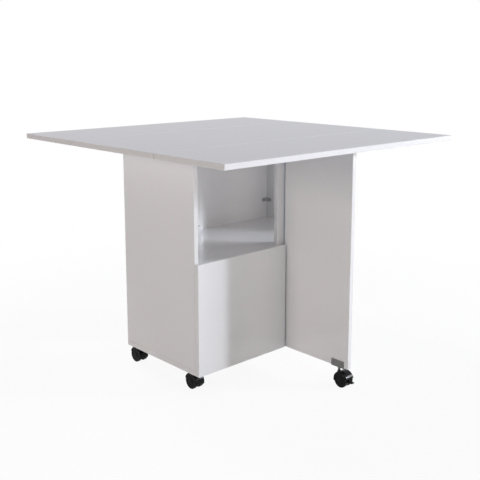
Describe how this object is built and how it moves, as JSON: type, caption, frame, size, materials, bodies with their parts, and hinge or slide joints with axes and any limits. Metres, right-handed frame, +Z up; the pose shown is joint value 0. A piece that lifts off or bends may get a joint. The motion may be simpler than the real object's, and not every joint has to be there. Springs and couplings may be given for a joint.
{
  "type": "drop-leaf gate table",
  "caption": "Square white drop-leaf table on a wheeled cabinet, with swinging gate panels that carry the leaves, an open niche and a push-open door.",
  "frame": {"origin": "floor level under the centre of the opened top", "axes": "+Z up, +X along the seams of the top, -Y towards the side with the door"},
  "size_m": [1, 1, 0.76],
  "materials": {
    "white_lacquer": "smooth white lacquered board, semi-gloss",
    "hinge_steel": "zinc-plated hinge steel",
    "bright_steel": "nickel-plated steel",
    "dark_steel": "dark grey zinc-phosphated sheet",
    "black_nylon": "moulded black nylon, half gloss",
    "wheel_nylon": "dark grey moulded nylon, matt",
    "latch_plastic": "pale grey moulded plastic"
  },
  "bodies": {
    "cabinet": {"centre_top": "white_lacquer", "front_leaf_hinge_fixed": "hinge_steel", "front_leaf_hinge_pins": "hinge_steel", "rear_leaf_hinge_fixed": "hinge_steel", "rear_leaf_hinge_pins": "hinge_steel", "left_side": "white_lacquer", "right_side": "white_lacquer", "bottom_panel": "white_lacquer", "shelf": "white_lacquer", "shelf_pins": "bright_steel", "front_post": "white_lacquer", "rear_post": "white_lacquer", "back_panel": "white_lacquer", "corner_braces": "dark_steel", "door_hinge_arms": "bright_steel", "push_latch_body": "latch_plastic", "front_gate_hinge_fixed": "hinge_steel", "front_gate_hinge_pin": "hinge_steel", "rear_gate_hinge_fixed": "hinge_steel", "rear_gate_hinge_pin": "hinge_steel", "cabinet_caster_stems": "dark_steel"},
    "front_leaf": {"front_leaf": "white_lacquer", "front_leaf_hinge_moving": "hinge_steel"},
    "rear_leaf": {"rear_leaf": "white_lacquer", "rear_leaf_hinge_moving": "hinge_steel"},
    "front_gate": {"front_gate": "white_lacquer", "front_gate_hinge_moving": "hinge_steel", "front_gate_bracket": "dark_steel", "front_gate_caster_stem": "dark_steel"},
    "rear_gate": {"rear_gate": "white_lacquer", "rear_gate_hinge_moving": "hinge_steel", "rear_gate_bracket": "dark_steel", "rear_gate_caster_stem": "dark_steel"},
    "front_door": {"front_door": "white_lacquer", "door_hinge_cups": "bright_steel"},
    "latch_plunger": {"push_latch_plunger": "latch_plastic"},
    "front_left_caster": {"front_left_caster_housing": "black_nylon"},
    "front_left_caster_wheels": {"front_left_caster_wheels": "wheel_nylon", "front_left_caster_axle": "bright_steel"},
    "front_left_caster_brake": {"front_left_caster_brake": "black_nylon"},
    "front_right_caster": {"front_right_caster_housing": "black_nylon"},
    "front_right_caster_wheels": {"front_right_caster_wheels": "wheel_nylon", "front_right_caster_axle": "bright_steel"},
    "front_right_caster_brake": {"front_right_caster_brake": "black_nylon"},
    "rear_left_caster": {"rear_left_caster_housing": "black_nylon"},
    "rear_left_caster_wheels": {"rear_left_caster_wheels": "wheel_nylon", "rear_left_caster_axle": "bright_steel"},
    "rear_left_caster_brake": {"rear_left_caster_brake": "black_nylon"},
    "rear_right_caster": {"rear_right_caster_housing": "black_nylon"},
    "rear_right_caster_wheels": {"rear_right_caster_wheels": "wheel_nylon", "rear_right_caster_axle": "bright_steel"},
    "rear_right_caster_brake": {"rear_right_caster_brake": "black_nylon"},
    "front_gate_caster": {"front_gate_caster_housing": "black_nylon"},
    "front_gate_caster_wheels": {"front_gate_caster_wheels": "wheel_nylon", "front_gate_caster_axle": "bright_steel"},
    "front_gate_caster_brake": {"front_gate_caster_brake": "black_nylon"},
    "rear_gate_caster": {"rear_gate_caster_housing": "black_nylon"},
    "rear_gate_caster_wheels": {"rear_gate_caster_wheels": "wheel_nylon", "rear_gate_caster_axle": "bright_steel"},
    "rear_gate_caster_brake": {"rear_gate_caster_brake": "black_nylon"}
  },
  "joints": [
    {"name": "front_leaf_lift", "type": "hinge", "parent": "cabinet", "child": "front_leaf", "pos_m": [0, -0.214, 0.7415], "axis": [-1, 0, 0], "range_deg": [0, 5]},
    {"name": "rear_leaf_lift", "type": "hinge", "parent": "cabinet", "child": "rear_leaf", "pos_m": [0, 0.214, 0.7415], "axis": [1, 0, 0], "range_deg": [0, 5]},
    {"name": "front_gate_swing", "type": "hinge", "parent": "cabinet", "child": "front_gate", "pos_m": [0.0555, -0.1813, 0.4], "axis": [0, 0, 1], "range_deg": [0, 90]},
    {"name": "rear_gate_swing", "type": "hinge", "parent": "cabinet", "child": "rear_gate", "pos_m": [-0.0555, 0.1813, 0.4], "axis": [0, 0, 1], "range_deg": [0, 90]},
    {"name": "door_swing", "type": "hinge", "parent": "cabinet", "child": "front_door", "pos_m": [-0.3335, -0.1785, 0.237], "axis": [0, 0, -1], "range_deg": [0, 95]},
    {"name": "latch_press", "type": "slide", "parent": "cabinet", "child": "latch_plunger", "axis": [0, 1, 0], "range_m": [0, 0.0035], "stiffness_N_per_m": 400},
    {"name": "front_left_swivel", "type": "hinge", "parent": "cabinet", "child": "front_left_caster", "pos_m": [-0.297, -0.147, 0.05], "axis": [0, 0, 1], "continuous": true},
    {"name": "front_left_roll", "type": "hinge", "parent": "front_left_caster", "child": "front_left_caster_wheels", "pos_m": [-0.297, -0.129, 0.02375], "axis": [-1, 0, 0], "continuous": true},
    {"name": "front_left_brake_press", "type": "hinge", "parent": "front_left_caster", "child": "front_left_caster_brake", "pos_m": [-0.297, -0.112, 0.02375], "axis": [-1, 0, 0], "range_deg": [0, 15]},
    {"name": "front_right_swivel", "type": "hinge", "parent": "cabinet", "child": "front_right_caster", "pos_m": [0.297, -0.147, 0.05], "axis": [0, 0, 1], "continuous": true},
    {"name": "front_right_roll", "type": "hinge", "parent": "front_right_caster", "child": "front_right_caster_wheels", "pos_m": [0.279, -0.147, 0.02375], "axis": [0, -1, 0], "continuous": true},
    {"name": "front_right_brake_press", "type": "hinge", "parent": "front_right_caster", "child": "front_right_caster_brake", "pos_m": [0.262, -0.147, 0.02375], "axis": [0, -1, 0], "range_deg": [0, 15]},
    {"name": "rear_left_swivel", "type": "hinge", "parent": "cabinet", "child": "rear_left_caster", "pos_m": [-0.297, 0.147, 0.05], "axis": [0, 0, 1], "continuous": true},
    {"name": "rear_left_roll", "type": "hinge", "parent": "rear_left_caster", "child": "rear_left_caster_wheels", "pos_m": [-0.297, 0.165, 0.02375], "axis": [-1, 0, 0], "continuous": true},
    {"name": "rear_left_brake_press", "type": "hinge", "parent": "rear_left_caster", "child": "rear_left_caster_brake", "pos_m": [-0.297, 0.182, 0.02375], "axis": [-1, 0, 0], "range_deg": [0, 15]},
    {"name": "rear_right_swivel", "type": "hinge", "parent": "cabinet", "child": "rear_right_caster", "pos_m": [0.297, 0.147, 0.05], "axis": [0, 0, 1], "continuous": true},
    {"name": "rear_right_roll", "type": "hinge", "parent": "rear_right_caster", "child": "rear_right_caster_wheels", "pos_m": [0.297, 0.165, 0.02375], "axis": [-1, 0, 0], "continuous": true},
    {"name": "rear_right_brake_press", "type": "hinge", "parent": "rear_right_caster", "child": "rear_right_caster_brake", "pos_m": [0.297, 0.182, 0.02375], "axis": [-1, 0, 0], "range_deg": [0, 15]},
    {"name": "front_gate_swivel", "type": "hinge", "parent": "front_gate", "child": "front_gate_caster", "pos_m": [0.0503, -0.4193, 0.05], "axis": [0, 0, 1], "continuous": true},
    {"name": "front_gate_roll", "type": "hinge", "parent": "front_gate_caster", "child": "front_gate_caster_wheels", "pos_m": [0.0503, -0.4373, 0.02375], "axis": [1, 0, 0], "continuous": true},
    {"name": "front_gate_brake_press", "type": "hinge", "parent": "front_gate_caster", "child": "front_gate_caster_brake", "pos_m": [0.0503, -0.4543, 0.02375], "axis": [1, 0, 0], "range_deg": [0, 15]},
    {"name": "rear_gate_swivel", "type": "hinge", "parent": "rear_gate", "child": "rear_gate_caster", "pos_m": [-0.0503, 0.3873, 0.05], "axis": [0, 0, 1], "continuous": true},
    {"name": "rear_gate_roll", "type": "hinge", "parent": "rear_gate_caster", "child": "rear_gate_caster_wheels", "pos_m": [-0.0503, 0.3693, 0.02375], "axis": [1, 0, 0], "continuous": true},
    {"name": "rear_gate_brake_press", "type": "hinge", "parent": "rear_gate_caster", "child": "rear_gate_caster_brake", "pos_m": [-0.0503, 0.3523, 0.02375], "axis": [1, 0, 0], "range_deg": [0, 15]}
  ]
}
